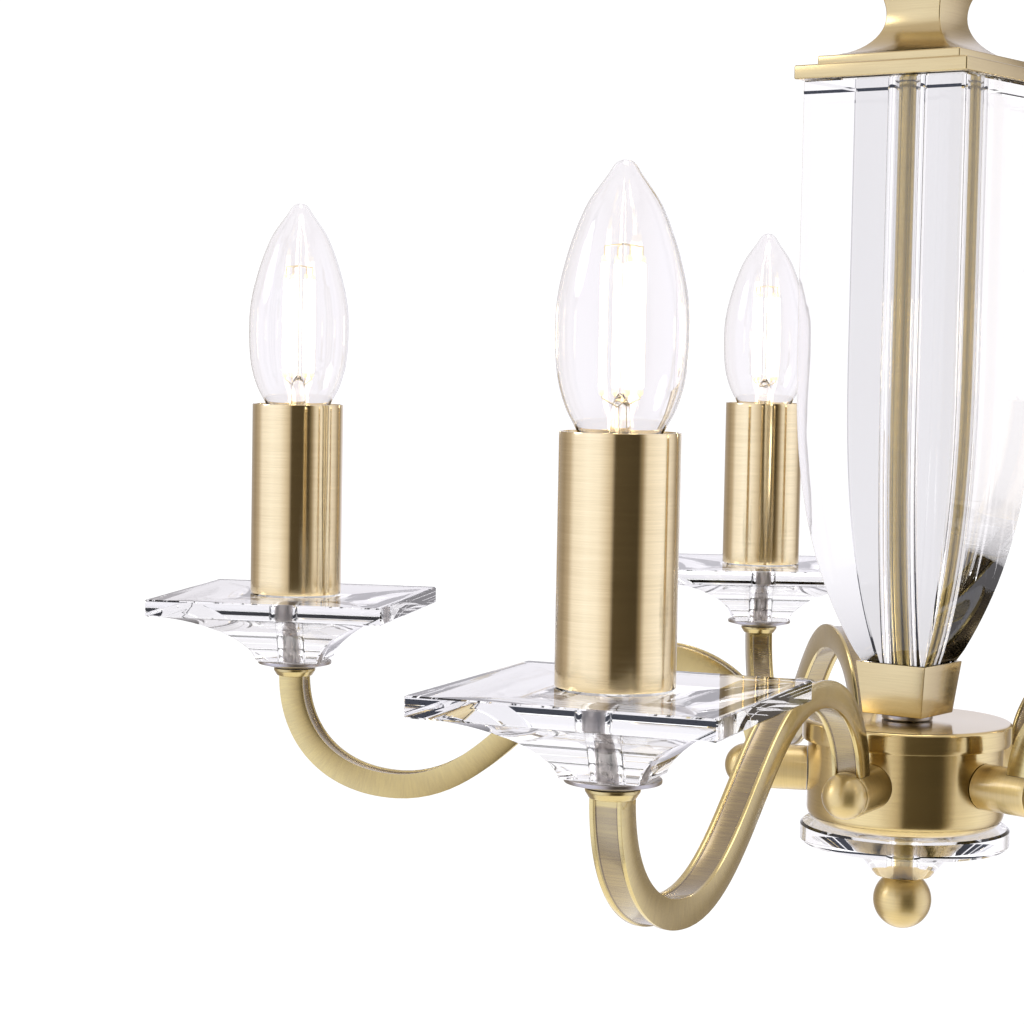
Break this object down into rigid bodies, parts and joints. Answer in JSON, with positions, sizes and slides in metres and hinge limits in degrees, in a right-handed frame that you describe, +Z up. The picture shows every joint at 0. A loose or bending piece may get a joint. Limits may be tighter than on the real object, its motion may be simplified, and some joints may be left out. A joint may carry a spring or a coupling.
{
  "type": "chandelier",
  "caption": "Hanging light with curved antique-brass arms round a cut glass column, square glass drip dishes and candle-shaped filament lamps.",
  "frame": {"origin": "the point on the inside of the hanging loop where a hook bears", "axes": "+Z is up along the column, -Y points along arm 1, +X is to the right when arm 1 faces the viewer"},
  "size_m": [0.5199, 0.4953, 0.3593],
  "materials": {
    "antique_brass": "brushed antique brass, satin, darker in the recesses",
    "crystal": "clear polished cut glass",
    "nickel": "dull nickel plate",
    "bulb_glass": "thin clear blown glass",
    "filament_glow": "lit filament sticks on a glass stem",
    "white_plastic": "white moulded plastic",
    "black_plastic": "black moulded plastic"
  },
  "bodies": {
    "frame": {"hanging_loop": "antique_brass", "top_collar": "antique_brass", "cable_gland": "black_plastic", "column_neck": "antique_brass", "column_cap_plate": "antique_brass", "glass_column": "crystal", "column_cup": "antique_brass", "centre_tube": "antique_brass", "tie_rod": "nickel", "column_washer": "nickel", "hub_cover": "antique_brass", "hub_body": "antique_brass", "terminal_block": "white_plastic", "lower_glass": "crystal", "finial_ball": "antique_brass", "arm_1": "antique_brass", "arm_2": "antique_brass", "arm_3": "antique_brass", "arm_4": "antique_brass", "arm_5": "antique_brass", "arm_boss_1": "antique_brass", "arm_boss_2": "antique_brass", "arm_boss_3": "antique_brass", "arm_boss_4": "antique_brass", "arm_boss_5": "antique_brass", "dish_seat_1": "nickel", "dish_seat_2": "nickel", "dish_seat_3": "nickel", "dish_seat_4": "nickel", "dish_seat_5": "nickel", "glass_dish_1": "crystal", "glass_dish_2": "crystal", "glass_dish_3": "crystal", "glass_dish_4": "crystal", "glass_dish_5": "crystal", "lampholder_1": "white_plastic", "lampholder_2": "white_plastic", "lampholder_3": "white_plastic", "lampholder_4": "white_plastic", "lampholder_5": "white_plastic"},
    "sleeve_1": {"candle_sleeve_1": "antique_brass"},
    "lamp_1": {"lamp_cap_1": "nickel", "lamp_bulb_1": "bulb_glass", "lamp_filaments_1": "filament_glow"},
    "sleeve_2": {"candle_sleeve_2": "antique_brass"},
    "lamp_2": {"lamp_cap_2": "nickel", "lamp_bulb_2": "bulb_glass", "lamp_filaments_2": "filament_glow"},
    "sleeve_3": {"candle_sleeve_3": "antique_brass"},
    "lamp_3": {"lamp_cap_3": "nickel", "lamp_bulb_3": "bulb_glass", "lamp_filaments_3": "filament_glow"},
    "sleeve_4": {"candle_sleeve_4": "antique_brass"},
    "lamp_4": {"lamp_cap_4": "nickel", "lamp_bulb_4": "bulb_glass", "lamp_filaments_4": "filament_glow"},
    "sleeve_5": {"candle_sleeve_5": "antique_brass"},
    "lamp_5": {"lamp_cap_5": "nickel", "lamp_bulb_5": "bulb_glass", "lamp_filaments_5": "filament_glow"}
  },
  "joints": [
    {"name": "sleeve_1_lift", "type": "slide", "parent": "frame", "child": "sleeve_1", "axis": [0, 0, 1], "range_m": [0, 0.075]},
    {"name": "lamp_1_unscrew", "type": "slide", "parent": "sleeve_1", "child": "lamp_1", "axis": [0, 0, 1], "range_m": [0, 0.03]},
    {"name": "sleeve_2_lift", "type": "slide", "parent": "frame", "child": "sleeve_2", "axis": [0, 0, 1], "range_m": [0, 0.075]},
    {"name": "lamp_2_unscrew", "type": "slide", "parent": "sleeve_2", "child": "lamp_2", "axis": [0, 0, 1], "range_m": [0, 0.03]},
    {"name": "sleeve_3_lift", "type": "slide", "parent": "frame", "child": "sleeve_3", "axis": [0, 0, 1], "range_m": [0, 0.075]},
    {"name": "lamp_3_unscrew", "type": "slide", "parent": "sleeve_3", "child": "lamp_3", "axis": [0, 0, 1], "range_m": [0, 0.03]},
    {"name": "sleeve_4_lift", "type": "slide", "parent": "frame", "child": "sleeve_4", "axis": [0, 0, 1], "range_m": [0, 0.075]},
    {"name": "lamp_4_unscrew", "type": "slide", "parent": "sleeve_4", "child": "lamp_4", "axis": [0, 0, 1], "range_m": [0, 0.03]},
    {"name": "sleeve_5_lift", "type": "slide", "parent": "frame", "child": "sleeve_5", "axis": [0, 0, 1], "range_m": [0, 0.075]},
    {"name": "lamp_5_unscrew", "type": "slide", "parent": "sleeve_5", "child": "lamp_5", "axis": [0, 0, 1], "range_m": [0, 0.03]}
  ]
}
